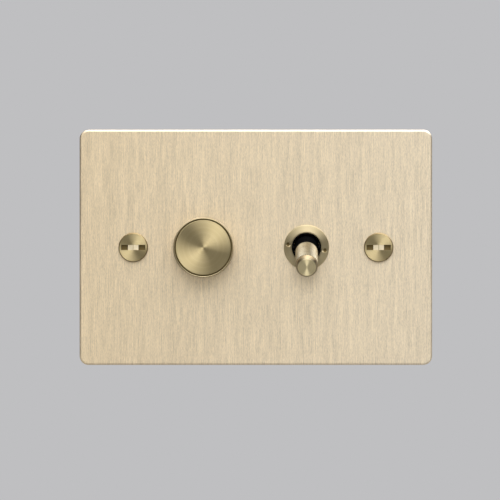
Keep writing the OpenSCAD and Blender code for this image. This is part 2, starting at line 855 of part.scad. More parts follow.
module lever_sleeve() {
    chamfer = 0.25;
    color(BRUSHED_BRASS) in_lever() turned() polygon([
        [stem_r, -sleeve_end], [lever_r - chamfer, -sleeve_end], [lever_r, -sleeve_end + chamfer],
        [lever_r, -sleeve_start - chamfer], [lever_r - chamfer, -sleeve_start], [stem_r, -sleeve_start]
    ]);
}

module lever_cap() {
    color(TURNED_BRASS) in_lever() turned() polygon([
        [0, -lever_reach], [cap_r - cap_chamfer, -lever_reach], [cap_r, -lever_reach + cap_chamfer],
        [cap_r, -sleeve_end], [stub_r, -sleeve_end], [stub_r, -sleeve_end - stub_l],
        [0, -sleeve_end - stub_l]
    ]);
}

module plunger() {
    color(PALE_PLASTIC) in_lever() {
        rod(plunger_start, plunger_tip - plunger_r, plunger_r);
        translate([0, plunger_tip - plunger_r, 0]) sphere(plunger_r);
    }
}

module plunger_spring() {
    mean_r = 1.1;
    wire = 0.18;
    color(SPRING_STEEL) in_lever() coil(mean_r, wire, tail_bore_start, plunger_start, turns = 5);
}

// Toggle: contacts

// Outline of the rocker in z and y: a hollow trough, an arm to each side, and a saddle behind
module rocker_outline() {
    far = 40;                       // more than the outline measures
    trough_y = rocker_arm_y + rocker_t / 3;
    saddle_y = [rocker_valley_y + 0.3, fulcrum_y + 0.8];
    difference() {
        union() {
            difference() {
                translate([0, rocker_centre_y]) circle(rocker_face_r + rocker_t);
                translate([-far / 2, trough_y - far]) square(far);
            }
            translate([-rocker_arm_z, rocker_arm_y]) square([2 * rocker_arm_z, rocker_t]);
            translate([-saddle_half, saddle_y[0]]) square([2 * saddle_half, saddle_y[1] - saddle_y[0]]);
        }
        translate([0, rocker_centre_y]) circle(rocker_face_r);
        translate([0, fulcrum_y]) circle(fulcrum_bore_r);
        translate([-fulcrum_bore_r, fulcrum_y]) square([2 * fulcrum_bore_r, 2]);
    }
}

// The outline is drawn in z and y, so its first axis is turned to lie along z.
module contact_rocker() {
    color(COPPER) in_rocker() translate([rocker_half_w, 0, 0]) rotate([0, -90, 0])
        linear_extrude(2 * rocker_half_w) rocker_outline();
}

module rocker_contacts() {
    back_y = rocker_arm_y + rocker_t;
    color(SILVER) in_rocker() for (s = [-1, 1]) translate([0, 0, s * contact_z])
        rod(back_y, back_y + contact_t, contact_r);
}

// Fixed contacts lie where the rocker's contacts meet them, at the same tilt.
module fixed_contacts() {
    gap = 0.04;
    face_y = rocker_arm_y + rocker_t + contact_t + gap;
    color(SILVER) at_toggle() for (s = [-1, 1]) intersection() {
        translate([0, fulcrum_y, 0]) rotate([-s * rocker_tilt, 0, 0])
            translate([0, -fulcrum_y, s * contact_z]) rod(face_y, face_y + 2 * contact_r, contact_r);
        block([-toggle_w, toggle_w] / 2, [0, strip_y], [-toggle_h, toggle_h] / 2);
    }
}

// Strip from a clamp block to the fixed contact on the side that s names
module line_terminal(s) {
    inner_z = toggle_mouth_z - block_l;
    riser_t = 1;
    strip_start_z = contact_z - 1.4;
    color(BRASS) at_toggle() {
        at_mouth(line_x, toggle_block_y, s * toggle_mouth_z) terminal_block();
        mirror([0, 0, s > 0 ? 0 : 1]) {
            block(strip_x, [strip_y, strip_y + strip_t], [strip_start_z, inner_z + riser_t]);
            block(strip_x, [strip_y, toggle_block_y + 0.1], [inner_z, inner_z + riser_t]);
        }
    }
}

module line_terminal_1() {
    line_terminal(-1);
}

module line_terminal_2() {
    line_terminal(1);
}

// Clamp block with a bridge to the two ears that carry the rocker's fulcrum
module common_terminal() {
    ear_x = [rocker_half_w + 0.3, rocker_half_w + 1.1];
    ear_half_h = 1.5;
    base_y = [toggle_block_y, toggle_block_y + 1];
    bridge_x = [common_x - 3.4, common_x + 2];
    inner_z = toggle_mouth_z - block_l;
    color(BRASS) at_toggle() {
        at_mouth(common_x, toggle_block_y, -toggle_mouth_z) terminal_block();
        translate([0, fulcrum_y, 0]) cross_rod(-ear_x[1], ear_x[1], fulcrum_r);
        for (s = [0, 1]) mirror([s, 0, 0])
            block(ear_x, [fulcrum_y - fulcrum_r, base_y[1]], [-ear_half_h, ear_half_h]);
        block([-ear_x[1], ear_x[1]], base_y, [-ear_half_h, ear_half_h]);
        block(bridge_x, base_y, [-inner_z - 0.1, ear_half_h]);
    }
}

module toggle_terminal_screws() {
    color(ZINC) at_toggle() for (p = [[line_x, 1], [line_x, -1], [common_x, -1]])
        at_mouth(p[0], toggle_block_y, p[1] * toggle_mouth_z) clamp_screw();
}

front_plate();
mounting_strap();
fixing_screw_left();
fixing_screw_right();
screw_retainers();
earth_terminal();
earth_screw();
knob_body();
knob_face();
knob_grub_screw();
spindle();
dimmer_bushing();
dimmer_nut();
dimmer_washer();
heat_sink();
dimmer_case();
case_screws();
pcb();
pot_housing();
wiper_rotor();
wiper_contact();
carbon_track();
resistor_wafer();
push_switch_case();
switch_plunger();
return_spring();
choke_core();
choke_winding();
capacitor();
thermal_fuse();
triac();
triac_screw();
dimmer_terminals();
dimmer_terminal_screws();
ring_nut();
toggle_neck();
socket_liner();
pivot_pin();
toggle_cover();
toggle_housing();
housing_screws();
lever_stem();
pivot_ball();
lever_sleeve();
lever_cap();
plunger();
plunger_spring();
contact_rocker();
rocker_contacts();
fixed_contacts();
common_terminal();
line_terminal_1();
line_terminal_2();
toggle_terminal_screws();
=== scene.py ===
"""Looks of the brass wall plate with a dimmer knob and a toggle lever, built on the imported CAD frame."""

import json
import math

import bmesh
import bpy
from mathutils import Matrix, Vector


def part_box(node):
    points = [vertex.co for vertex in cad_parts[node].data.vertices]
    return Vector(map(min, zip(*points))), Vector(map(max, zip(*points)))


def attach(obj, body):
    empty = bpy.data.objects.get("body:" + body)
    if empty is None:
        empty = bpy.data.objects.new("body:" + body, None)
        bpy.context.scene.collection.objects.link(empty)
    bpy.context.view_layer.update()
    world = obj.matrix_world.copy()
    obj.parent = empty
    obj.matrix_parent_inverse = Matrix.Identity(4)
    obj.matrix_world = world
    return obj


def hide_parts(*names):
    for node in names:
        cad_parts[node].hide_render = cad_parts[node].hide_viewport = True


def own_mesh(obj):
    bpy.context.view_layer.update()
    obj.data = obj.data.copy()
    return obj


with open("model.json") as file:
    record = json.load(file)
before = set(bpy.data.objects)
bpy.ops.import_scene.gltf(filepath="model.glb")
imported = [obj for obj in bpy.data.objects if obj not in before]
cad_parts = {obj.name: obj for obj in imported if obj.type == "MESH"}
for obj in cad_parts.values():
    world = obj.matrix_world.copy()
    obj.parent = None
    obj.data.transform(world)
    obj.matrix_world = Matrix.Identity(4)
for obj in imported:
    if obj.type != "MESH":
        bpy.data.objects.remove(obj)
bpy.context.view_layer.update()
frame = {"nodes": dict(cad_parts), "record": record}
nodes = frame["nodes"]
joints = {j["name"]: j for j in frame["record"]["behaviour"]["joints"]}

MM = 0.001

# Sizes in millimetres that the solids don't carry
PLATE_EDGE_R = 0.55         # rounding of the plate's front edge
PLATE_BACK_CHAMFER = 0.15
PLATE_CORNER_R = 3.0
RECESS_CORNER_R = 2.0
RECESS_MARGIN = 1.0         # room round the strap in the plate's recess
DIMMER_HOLE_R = 5.15
TOGGLE_HOLE_R = 6.15
FIXING_HOLE_R = 2.3
HOLE_SIDES = 64
TURNED_SIDES = 128
KNOB_KNURL_PITCH = 0.52
LEVER_KNURL_PITCH = 0.68
KNURL_RELIEF = 0.24
KNURL_ANGLE = 30.0          # degrees between the knurl's grooves and the axis
THREAD_PITCH = 0.6
THREAD_RELIEF = 0.3
SPUN_TURN = -40.0           # degrees by which the spun highlights of knob and screws are turned
LEVER_TILT = 20.0
LEVER_REACH = 19.7          # from the pivot to the tip
LEVER_CAP_L = 2.2
LEVER_STEM_R = 2.0
RING_FALL = 0.35            # how far the ring's face slopes back towards its edge
SCREW_CHAMFER = 0.3
SLOT_HALF_W = 0.88
SLOT_HALF_L = 4.1
SLOT_DEPTH = 1.2
SLOT_RAMP_HALF_L = 1.8      # the two shallow ramps between the slot's pockets
SLOT_RAMP_DEPTH = 0.3
SPRING_GAP = 0.02           # play between a spring and the piece that it pushes
FLOOR_DROP = 225.0          # how far the floor lies below the plate
FLOOR_HALF = 4000.0


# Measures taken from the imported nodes, in millimetres

def box_mm(name):
    low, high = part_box(name)
    return [v / MM for v in low], [v / MM for v in high]


def centre_mm(name):
    low, high = box_mm(name)
    return [(a + b) / 2 for a, b in zip(low, high)]


def radius_mm(name):
    """Radius of a round node, from its width."""
    low, high = box_mm(name)
    return (high[0] - low[0]) / 2


PLATE_LOW, PLATE_HIGH = box_mm("front_plate")
DIMMER_X = centre_mm("knob_body")[0]
TOGGLE_X = centre_mm("ring_nut")[0]
FRONT_Y = PLATE_LOW[1]
PIVOT = [v / MM for v in joints["toggle_flip"]["pos_m"]]
KNOB_R = radius_mm("knob_body")
LEVER_R = radius_mm("lever_sleeve")


# Meshes

def add_object(name, mesh):
    obj = bpy.data.objects.new(name, mesh)
    bpy.context.scene.collection.objects.link(obj)
    return obj


def shade(mesh, sharp_angle=35.0):
    """Smooth shading, with an edge wherever faces meet at more than sharp_angle."""
    mesh.polygons.foreach_set("use_smooth", [True] * len(mesh.polygons))
    mesh.set_sharp_from_angle(angle=math.radians(sharp_angle))


def mesh_from(name, points, faces, sharp_angle=35.0):
    """A mesh from points in millimetres, with its faces turned outwards."""
    mesh = bpy.data.meshes.new(name)
    mesh.from_pydata([Vector(p) * MM for p in points], [], faces)
    work = bmesh.new()
    work.from_mesh(mesh)
    bmesh.ops.remove_doubles(work, verts=work.verts, dist=1e-7)
    bmesh.ops.dissolve_degenerate(work, dist=1e-8, edges=work.edges)
    bmesh.ops.recalc_face_normals(work, faces=work.faces)
    work.to_mesh(mesh)
    work.free()
    shade(mesh, sharp_angle)
    return mesh


def plain(radius, depth):
    """A ring of a turned mesh with no relief."""
    return (radius, depth, None)


def knurled(radius, depth, row):
    """A ring whose points stand high and low in turn, so that rows of it make pyramids."""
    return (radius, depth, lambda angle, column: -KNURL_RELIEF * ((row + column) % 2))


def threaded(radius, depth):
    """A ring of a helical V thread."""
    def relief(angle, column):
        phase = (depth / THREAD_PITCH + angle / (2 * math.pi)) % 1.0
        return -THREAD_RELIEF * (1 - abs(2 * phase - 1))
    return (radius, depth, relief)


def knurl_rows(radius, start, end, pitch):
    """Rings of a diamond knurl from depth start to depth end."""
    row_pitch = pitch / math.tan(math.radians(KNURL_ANGLE))
    count = 2 * max(1, round(abs(end - start) / row_pitch))
    return [knurled(radius, start + (end - start) * i / count, i) for i in range(count + 1)]


def quarter(radius, depth, rounding, steps=5):
    """Rings of a rounded front edge, from just outside the flat face to the full radius."""
    turns = [math.pi / 2 * i / steps for i in range(1, steps + 1)]
    return [plain(radius - rounding * (1 - math.sin(a)), depth + rounding * (1 - math.cos(a))) for a in turns]


def thread_rows(radius, start, end, per_turn=6):
    count = round(abs(end - start) / THREAD_PITCH * per_turn)
    return [threaded(radius, start + (end - start) * i / count) for i in range(count + 1)]


def knurl_sides(radius, pitch):
    """Points round a knurled ring, an even number so that high and low ones take turns."""
    return 2 * round(2 * math.pi * radius / pitch)


def turned_mesh(name, rings, sides=TURNED_SIDES, closed=False, sharp_angle=35.0):
    """Turns rings of (radius, depth, relief) about the y axis. closed joins the last ring to the first."""
    points, rows = [], []
    for radius, depth, relief in rings:
        row = []
        for column in range(sides):
            angle = 2 * math.pi * column / sides
            r = max(0.0, radius + (relief(angle, column) if relief else 0.0))
            row.append(len(points))
            points.append((r * math.cos(angle), depth, r * math.sin(angle)))
        rows.append(row)
    faces = []
    pairs = list(zip(rows, rows[1:])) + ([(rows[-1], rows[0])] if closed else [])
    for index, (a, b) in enumerate(pairs):
        for c in range(sides):
            d = (c + 1) % sides
            if (index + c) % 2:
                faces += [(a[c], a[d], b[c]), (a[d], b[d], b[c])]
            else:
                faces += [(a[c], b[d], b[c]), (a[c], a[d], b[d])]
    return mesh_from(name, points, faces, sharp_angle)


def place(obj, x, y=0.0, z=0.0, tilt=0.0):
    """Moves obj to a point in millimetres and tilts it about x by tilt degrees."""
    turn = Matrix.Rotation(math.radians(tilt), 4, "X")
    obj.matrix_world = Matrix.Translation(Vector((x, y, z)) * MM) @ turn
    bpy.context.view_layer.update()
    return obj


def cut(obj, cutter):
    """Subtracts cutter from obj and removes cutter."""
    modifier = obj.modifiers.new("cut", "BOOLEAN")
    modifier.operation = "DIFFERENCE"
    modifier.solver = "EXACT"
    modifier.object = cutter
    bpy.context.view_layer.update()
    result = bpy.data.meshes.new_from_object(obj.evaluated_get(bpy.context.evaluated_depsgraph_get()))
    obj.modifiers.clear()
    obj.data = result
    bpy.data.objects.remove(cutter)
    return obj


def rounded_loop(half_w, half_h, radius, inset, depth, corner_steps=10):
    """Points of a rounded rectangle, pulled in by inset, at that depth."""
    radius = max(radius - inset, 0.01)
    half_w, half_h = half_w - inset, half_h - inset
    points = []
    for corner, (sx, sz) in enumerate(((1, 1), (-1, 1), (-1, -1), (1, -1))):
        for step in range(corner_steps + 1):
            a = math.pi / 2 * (corner + step / corner_steps)
            points.append((sx * (half_w - radius) + radius * math.cos(a), depth,
                           sz * (half_h - radius) + radius * math.sin(a)))
    return points


def circle_loop(x, radius, depth):
    turns = [2 * math.pi * i / HOLE_SIDES for i in range(HOLE_SIDES)]
    return [(x + radius * math.cos(a), depth, radius * math.sin(a)) for a in turns]


class PlateMesh:
    """Collects loops of points, walls between them and flat faces with holes."""

    def __init__(self):
        self.work = bmesh.new()

    def loop(self, points):
        verts = [self.work.verts.new(Vector(p) * MM) for p in points]
        for a, b in zip(verts, verts[1:] + verts[:1]):
            self.work.edges.new((a, b))
        return verts

    def wall(self, a, b):
        for i in range(len(a)):
            j = (i + 1) % len(a)
            self.work.faces.new((a[i], a[j], b[j], b[i]))

    def flat(self, *loops):
        edges = []
        for verts in loops:
            edges += [self.work.edges.get((a, b)) for a, b in zip(verts, verts[1:] + verts[:1])]
        bmesh.ops.triangle_fill(self.work, edges=edges, use_beauty=True)

    def finish(self, name):
        bmesh.ops.recalc_face_normals(self.work, faces=self.work.faces)
        mesh = bpy.data.meshes.new(name)
        self.work.to_mesh(mesh)
        self.work.free()
        shade(mesh, 30.0)
        return mesh


def plate_mesh():
    """The front plate: rounded front edge, recess for the strap behind, and its four holes."""
    half_w = (PLATE_HIGH[0] - PLATE_LOW[0]) / 2
    half_h = (PLATE_HIGH[2] - PLATE_LOW[2]) / 2
    strap_low, strap_high = box_mm("mounting_strap")
    recess_w = strap_high[0] + RECESS_MARGIN
    recess_h = strap_high[2] + RECESS_MARGIN
    floor_y = strap_low[1]
    screw_x = centre_mm("fixing_screw_right")[0]
    holes = [(DIMMER_X, DIMMER_HOLE_R), (TOGGLE_X, TOGGLE_HOLE_R), (-screw_x, FIXING_HOLE_R),
             (screw_x, FIXING_HOLE_R)]
    steps, support = 6, 0.3
    turns = [math.pi / 2 * i / steps for i in range(steps + 1)]
    profile = [(PLATE_EDGE_R + support, FRONT_Y)]       # keeps the shading of the face flat up to its edge
    profile += [(PLATE_EDGE_R * (1 - math.sin(a)), FRONT_Y + PLATE_EDGE_R * (1 - math.cos(a))) for a in turns]
    profile += [(0, -PLATE_BACK_CHAMFER), (PLATE_BACK_CHAMFER, 0)]
    plate = PlateMesh()
    rings = [plate.loop(rounded_loop(half_w, half_h, PLATE_CORNER_R, inset, y)) for inset, y in profile]
    for a, b in zip(rings, rings[1:]):
        plate.wall(a, b)
    front_holes = [plate.loop(circle_loop(x, r, FRONT_Y)) for x, r in holes]
    back_holes = [plate.loop(circle_loop(x, r, floor_y)) for x, r in holes]
    for a, b in zip(front_holes, back_holes):
        plate.wall(a, b)
    recess_mouth = plate.loop(rounded_loop(recess_w, recess_h, RECESS_CORNER_R, 0, 0))
    recess_floor = plate.loop(rounded_loop(recess_w, recess_h, RECESS_CORNER_R, 0, floor_y))
    plate.wall(recess_mouth, recess_floor)
    plate.flat(rings[0], *front_holes)
    plate.flat(rings[-1], recess_mouth)
    plate.flat(recess_floor, *back_holes)
    return plate.finish("front_plate_detail")


# Materials

def add_node(tree, kind, inputs=None, **settings):
    """Adds a node. Its inputs, by name or number, are values or the sockets that feed them."""
    made = tree.nodes.new(kind)
    for key, value in settings.items():
        setattr(made, key, value)
    for key, value in (inputs or {}).items():
        if isinstance(value, bpy.types.NodeSocket):
            tree.links.new(value, made.inputs[key])
        else:
            made.inputs[key].default_value = value
    return made


class Shader:
    """A node material under construction."""

    def __init__(self, name):
        self.material = bpy.data.materials.new(name)
        self.material.use_nodes = True
        self.tree = self.material.node_tree
        self.bsdf = self.tree.nodes["Principled BSDF"]

    def set(self, **values):
        for key, value in values.items():
            self.bsdf.inputs[key.replace("_", " ")].default_value = value

    def node(self, kind, inputs=None, **settings):
        return add_node(self.tree, kind, inputs, **settings)

    def link(self, socket, name):
        self.tree.links.new(socket, self.bsdf.inputs[name])

    def position(self):
        return self.node("ShaderNodeTexCoord").outputs["Object"]

    def scaled(self, vector, scale):
        """vector, times a scale for each axis in features per metre."""
        return self.node("ShaderNodeVectorMath", {0: vector, 1: scale}, operation="MULTIPLY").outputs[0]

    def noise(self, vector, scale=1.0, detail=3.0, roughness=0.55):
        return self.node("ShaderNodeTexNoise", {"Vector": vector, "Scale": scale, "Detail": detail,
                                                "Roughness": roughness}).outputs["Fac"]

    def ring_noise(self, distance, scale, detail):
        """Noise that depends on one distance alone."""
        return self.node("ShaderNodeTexNoise", {"W": distance, "Scale": scale, "Detail": detail},
                         noise_dimensions="1D").outputs["Fac"]

    def math(self, operation, a, b=0.0):
        return self.node("ShaderNodeMath", {0: a, 1: b}, operation=operation).outputs[0]

    def span(self, value, low, high, from_low=0.3, from_high=0.7):
        """Carries value, as noise gives it, into the range low to high."""
        return self.node("ShaderNodeMapRange", {"Value": value, "From Min": from_low, "From Max": from_high,
                                                "To Min": low, "To Max": high}).outputs["Result"]

    def blend(self, factor, a, b):
        made = self.node("ShaderNodeMix", data_type="RGBA")
        self.tree.links.new(factor, made.inputs["Factor"])
        for socket, value in ((made.inputs[6], a), (made.inputs[7], b)):
            if isinstance(value, bpy.types.NodeSocket):
                self.tree.links.new(value, socket)
            else:
                socket.default_value = (*value, 1.0)
        return made.outputs[2]

    def bump(self, height, distance_mm, strength=1.0):
        made = self.node("ShaderNodeBump", {"Height": height, "Distance": distance_mm * MM,
                                            "Strength": strength})
        self.link(made.outputs["Normal"], "Normal")


def brushed_brass(name, left, right, contrast=0.25):
    """Satin brass with vertical brush lines; its colour shifts slowly from the colour left to the colour
    right, as painted light.
    """
    s = Shader(name)
    p = s.position()
    fine = s.noise(s.scaled(p, (9000, 1200, 1200)), detail=2.0)
    medium = s.noise(s.scaled(p, (4500, 300, 110)), detail=3.0)
    broad = s.noise(s.scaled(p, (500, 60, 22)), detail=2.0)
    streaks = s.math("ADD", s.math("MULTIPLY", fine, 0.5), s.math("MULTIPLY", medium, 0.5))
    tone = s.math("ADD", s.math("MULTIPLY", streaks, 0.85), s.math("MULTIPLY", broad, 0.15))
    across = s.node("ShaderNodeSeparateXYZ", {0: p}).outputs["X"]
    # Painted light: the base colour shifts across the plate from left to right.
    colour = s.blend(s.span(across, 0, 1, PLATE_LOW[0] * MM, PLATE_HIGH[0] * MM), left, right)
    shade_of_line = s.span(tone, 1 - contrast, 1 + contrast, 0.36, 0.64)
    s.link(s.node("ShaderNodeVectorMath", {0: colour, "Scale": shade_of_line}, operation="SCALE").outputs[0],
           "Base Color")
    s.link(s.span(streaks, 0.36, 0.46), "Roughness")
    s.set(Metallic=1.0, Anisotropic=0.3)
    sideways = s.node("ShaderNodeVectorTransform", {"Vector": (1.0, 0.0, 0.0)}, vector_type="VECTOR",
                      convert_from="OBJECT", convert_to="WORLD")
    s.link(sideways.outputs[0], "Tangent")
    s.bump(streaks, 0.012)
    return s.material


def spun_brass(name, light, dark, turn=0.0, roughness=(0.44, 0.50)):
    """Lathe-turned brass: fine rings about the piece's y axis, with highlights that run across them."""
    s = Shader(name)
    p = s.position()
    flat = s.scaled(p, (1.0, 0.0, 1.0))
    radius = s.node("ShaderNodeVectorMath", {0: flat}, operation="LENGTH").outputs["Value"]
    depth = s.node("ShaderNodeSeparateXYZ", {0: p}).outputs["Y"]
    ring_at = s.math("ADD", radius, depth)
    fine, wide = [s.ring_noise(ring_at, scale, detail) for scale, detail in ((5000.0, 3.0), (900.0, 2.0))]
    tone = s.math("ADD", s.math("MULTIPLY", fine, 0.5), s.math("MULTIPLY", wide, 0.5))
    s.link(s.blend(s.span(tone, 0, 1), dark, light), "Base Color")
    s.link(s.span(fine, roughness[0], roughness[1]), "Roughness")
    s.set(Metallic=1.0, Anisotropic=1.0)
    outwards = s.node("ShaderNodeVectorMath", {0: flat}, operation="NORMALIZE").outputs[0]
    if turn:
        outwards = s.node("ShaderNodeVectorRotate", {"Vector": outwards, "Angle": math.radians(turn)},
                          rotation_type="Y_AXIS").outputs[0]
    leaning = s.node("ShaderNodeVectorMath", {0: outwards, 1: (0.0, 0.2, 0.0)}, operation="ADD").outputs[0]
    world = s.node("ShaderNodeVectorTransform", {"Vector": leaning}, vector_type="VECTOR",
                   convert_from="OBJECT", convert_to="WORLD")
    s.link(world.outputs[0], "Tangent")
    s.bump(fine, 0.004)
    return s.material


def knurled_brass(name, radius, light, dark, roughness=(0.28, 0.4)):
    """Knurled brass: darker in the grooves below that radius, as painted shade, and lighter on the points in
    random patches.
    """
    s = Shader(name)
    p = s.position()
    axis_distance = s.node("ShaderNodeVectorMath", {0: s.scaled(p, (1.0, 0.0, 1.0))},
                           operation="LENGTH").outputs["Value"]
    raised = s.span(axis_distance, 0, 1, (radius - KNURL_RELIEF) * MM, (radius - 0.3 * KNURL_RELIEF) * MM)
    patches = s.noise(s.scaled(p, (600, 600, 600)), detail=3.0)
    # Painted shade: the grooves take the dark colour, the points the light one.
    unshaded_points = s.math("MULTIPLY", raised, s.span(patches, 0.75, 1.0))
    s.link(s.blend(unshaded_points, dark, light), "Base Color")
    s.link(s.span(patches, roughness[0], roughness[1]), "Roughness")
    s.set(Metallic=1.0)
    s.bump(patches, 0.006)
    return s.material


def metal(name, light, dark, roughness=(0.25, 0.4), grain=(900, 900, 900), relief=0.01):
    """Plain metal with a faint grain, and a little dulling in patches."""
    s = Shader(name)
    p = s.position()
    fine = s.noise(s.scaled(p, grain), detail=4.0)
    patches = s.noise(s.scaled(p, (140, 140, 140)), detail=3.0)
    s.link(s.blend(s.span(patches, 0, 1), dark, light), "Base Color")
    mixed = s.math("MULTIPLY", s.math("ADD", fine, patches), 0.5)
    s.link(s.span(mixed, roughness[0], roughness[1]), "Roughness")
    s.set(Metallic=1.0)
    s.bump(fine, relief)
    return s.material


def plastic(name, light, dark, roughness=(0.4, 0.55), grain=1500, relief=0.02, specular=0.5):
    """Moulded plastic: a fine spark-eroded grain and slight unevenness of colour."""
    s = Shader(name)
    p = s.position()
    fine = s.noise(s.scaled(p, (grain, grain, grain)), detail=3.0)
    patches = s.noise(s.scaled(p, (90, 90, 90)), detail=4.0)
    s.link(s.blend(s.span(patches, 0, 1), dark, light), "Base Color")
    s.link(s.span(fine, roughness[0], roughness[1]), "Roughness")
    s.set(Specular_IOR_Level=specular)
    s.bump(fine, relief)
    return s.material


# Studio light. Fades begin and end at a component of the light's direction, a unit vector in the part's axes.
LIGHT_SCALE = 4.0           # ramps hold colours up to 1
PEAK = 3.7                  # brightness of the sectors straight above and below
SECTOR_TINT = (1.0, 1.01, 1.1)
# Steepness of the direction as seen from the front, 0 level to 1 upright, and its share of the peak
SECTOR_STOPS = [(0.0, 0.10), (0.12, 0.10), (0.2, 0.005), (0.4, 0.005), (0.5, 0.17), (0.64, 0.31),
                (0.77, 0.45), (0.94, 0.76), (1.0, 1.0)]
LOW_LIGHT = 0.10            # share of the sectors' light that is left low down
HEIGHT_FADE = (-0.25, 0.35)
OVERHEAD_LEAN = 0.75        # how much the sectors gain on the right and lose on the left, except in front
LEAN_FADE = (-0.5, 0.5)
OVERHEAD_FADE = (-0.6, -0.3)
FRONT_STOPS = [(0.0, (1.24, 1.23, 1.20)), (1.0, (1.30, 1.30, 1.30))]    # bright zone, left and right
FRONT_FADE = (-0.6, 0.6)
FRONT_ZONE = (0.07, 0.24)   # distance from the camera's axis where the bright zone begins to fade, and ends
FRONT_SQUEEZE = 0.85        # the bright zone's height as a share of its width
BACKDROP = (0.521, 0.521, 0.533)


def studio():
    """World light: a bright zone round the camera's axis, light sectors above and below, dark ones beside."""
    world = bpy.data.worlds.new("studio")
    bpy.context.scene.world = world
    world.use_nodes = True
    tree = world.node_tree
    tree.nodes.clear()

    def node(kind, inputs=None, **settings):
        return add_node(tree, kind, inputs, **settings)

    def vector(operation, a, other=None):
        inputs = {0: a}
        inputs.update(other or {})
        return node("ShaderNodeVectorMath", inputs, operation=operation).outputs

    def fade(value, begin, end, to_begin=0.0, to_end=1.0):
        return node("ShaderNodeMapRange", {"Value": value, "From Min": begin, "From Max": end,
                                           "To Min": to_begin, "To Max": to_end}).outputs["Result"]

    def ramp(value, stops):
        made = node("ShaderNodeValToRGB", {"Fac": value})
        made.color_ramp.interpolation = "LINEAR"
        while len(made.color_ramp.elements) < len(stops):
            made.color_ramp.elements.new(0.5)
        for element, (at, colour) in zip(made.color_ramp.elements, stops):
            element.position = at
            element.color = (*[c / LIGHT_SCALE for c in colour], 1.0)
        return made.outputs["Color"]

    direction = node("ShaderNodeTexCoord").outputs["Generated"]
    part = node("ShaderNodeSeparateXYZ", {0: direction}).outputs

    flat = vector("MULTIPLY", direction, {1: (1.0, 0.0, 1.0)})[0]
    off_axis = vector("LENGTH", flat)["Value"]
    lift = node("ShaderNodeMath", {0: part["Z"], 1: off_axis}, operation="DIVIDE").outputs[0]
    steepness = node("ShaderNodeMath", {0: lift}, operation="ABSOLUTE").outputs[0]
    levels = [(at, [PEAK * level * tint for tint in SECTOR_TINT]) for at, level in SECTOR_STOPS]
    sectors = ramp(steepness, levels)
    height = fade(part["Z"], *HEIGHT_FADE, LOW_LIGHT, 1.0)
    sectors = vector("SCALE", sectors, {"Scale": height})[0]
    lean = fade(part["X"], *LEAN_FADE, 1 - OVERHEAD_LEAN, 1 + OVERHEAD_LEAN)
    overhead = fade(part["Y"], *OVERHEAD_FADE)
    leaning = node("ShaderNodeMix", {"Factor": overhead, "A": 1.0, "B": lean}, data_type="FLOAT").outputs[0]
    sectors = vector("SCALE", sectors, {"Scale": leaning})[0]

    front = ramp(fade(part["X"], *FRONT_FADE), FRONT_STOPS)
    squeezed = vector("MULTIPLY", direction, {1: (FRONT_SQUEEZE, 0.0, 1.0)})[0]
    near_axis = fade(vector("LENGTH", squeezed)["Value"], *FRONT_ZONE, 1.0, 0.0)
    mixed = node("ShaderNodeMix", {"Factor": near_axis, 6: sectors, 7: front}, data_type="RGBA").outputs[2]

    light = node("ShaderNodeBackground", {"Color": mixed, "Strength": LIGHT_SCALE})
    backdrop = node("ShaderNodeBackground", {"Color": (*BACKDROP, 1.0), "Strength": 1.0})
    seen = node("ShaderNodeLightPath").outputs["Is Camera Ray"]
    both = node("ShaderNodeMixShader", {0: seen, 1: light.outputs[0], 2: backdrop.outputs[0]})
    node("ShaderNodeOutputWorld", {"Surface": both.outputs[0]})


# Pieces

def finish_piece(obj, body, material, slot, *replaced):
    obj.data.materials.clear()
    obj.data.materials.append(material)
    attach(obj, body)
    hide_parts(*replaced)
    return obj


def build_plate(material):
    obj = add_object("plate", plate_mesh())
    return finish_piece(obj, "wall_unit", material, "brushed_brass", "front_plate")


def assign_extra(obj, materials, choose):
    """Adds materials, and gives each face the one that choose picks from its centre in millimetres."""
    for material in materials:
        obj.data.materials.append(material)
    for face in obj.data.polygons:
        face.material_index = int(choose(*(face.center / MM)))


def build_knob_body(side_material, rim_material):
    low, high = box_mm("knob_body")
    back, front = high[1], low[1]
    seat_y = box_mm("knob_face")[1][1]
    rim_r = radius_mm("knob_face")
    cavity_r, cavity_depth = 8.0, 4.2
    bore_r, bore_y = 3.0, box_mm("spindle")[0][1]
    chamfer = 0.4
    rim_fall = 0.1
    rings = [plain(0, seat_y), plain(rim_r, seat_y), plain(rim_r, front + rim_fall),
             plain(rim_r + 0.08, front), plain(KNOB_R - chamfer, front)]
    rings += knurl_rows(KNOB_R, front + chamfer, back - chamfer, KNOB_KNURL_PITCH)
    rings += [plain(KNOB_R - chamfer, back), plain(cavity_r, back), plain(cavity_r, back - cavity_depth),
              plain(bore_r, back - cavity_depth), plain(bore_r, bore_y), plain(0, bore_y)]
    mesh = turned_mesh("knob", rings, knurl_sides(KNOB_R, KNOB_KNURL_PITCH))
    obj = place(add_object("knob", mesh), DIMMER_X)
    finish_piece(obj, "knob", side_material, "turned_brass", "knob_body")
    knurl_foot_r = KNOB_R - KNURL_RELIEF - 0.05
    assign_extra(obj, [rim_material], lambda x, y, z: math.hypot(x, z) < knurl_foot_r)


def build_knob_disc(face_material, groove_material):
    """The spun disc, a groove's width smaller than the seat that it is let into."""
    low, high = box_mm("knob_face")
    seat_r = radius_mm("knob_face")
    groove_w, groove_depth, rounding = 0.45, 1.0, 0.15
    face_r, face_y, seat_y = seat_r - groove_w, low[1], high[1]
    rings = [plain(0, face_y), plain(face_r * 0.5, face_y), plain(face_r - rounding, face_y)]
    rings += quarter(face_r, face_y, rounding)
    rings += [plain(face_r, face_y + groove_depth), plain(seat_r, face_y + groove_depth),
              plain(seat_r, seat_y), plain(0, seat_y)]
    obj = place(add_object("knob_disc", turned_mesh("knob_disc", rings)), DIMMER_X)
    finish_piece(obj, "knob", face_material, "turned_brass", "knob_face")
    # The groove's faces are painted shade.
    assign_extra(obj, [groove_material], lambda x, y, z: math.hypot(x, z) > face_r - 0.02)


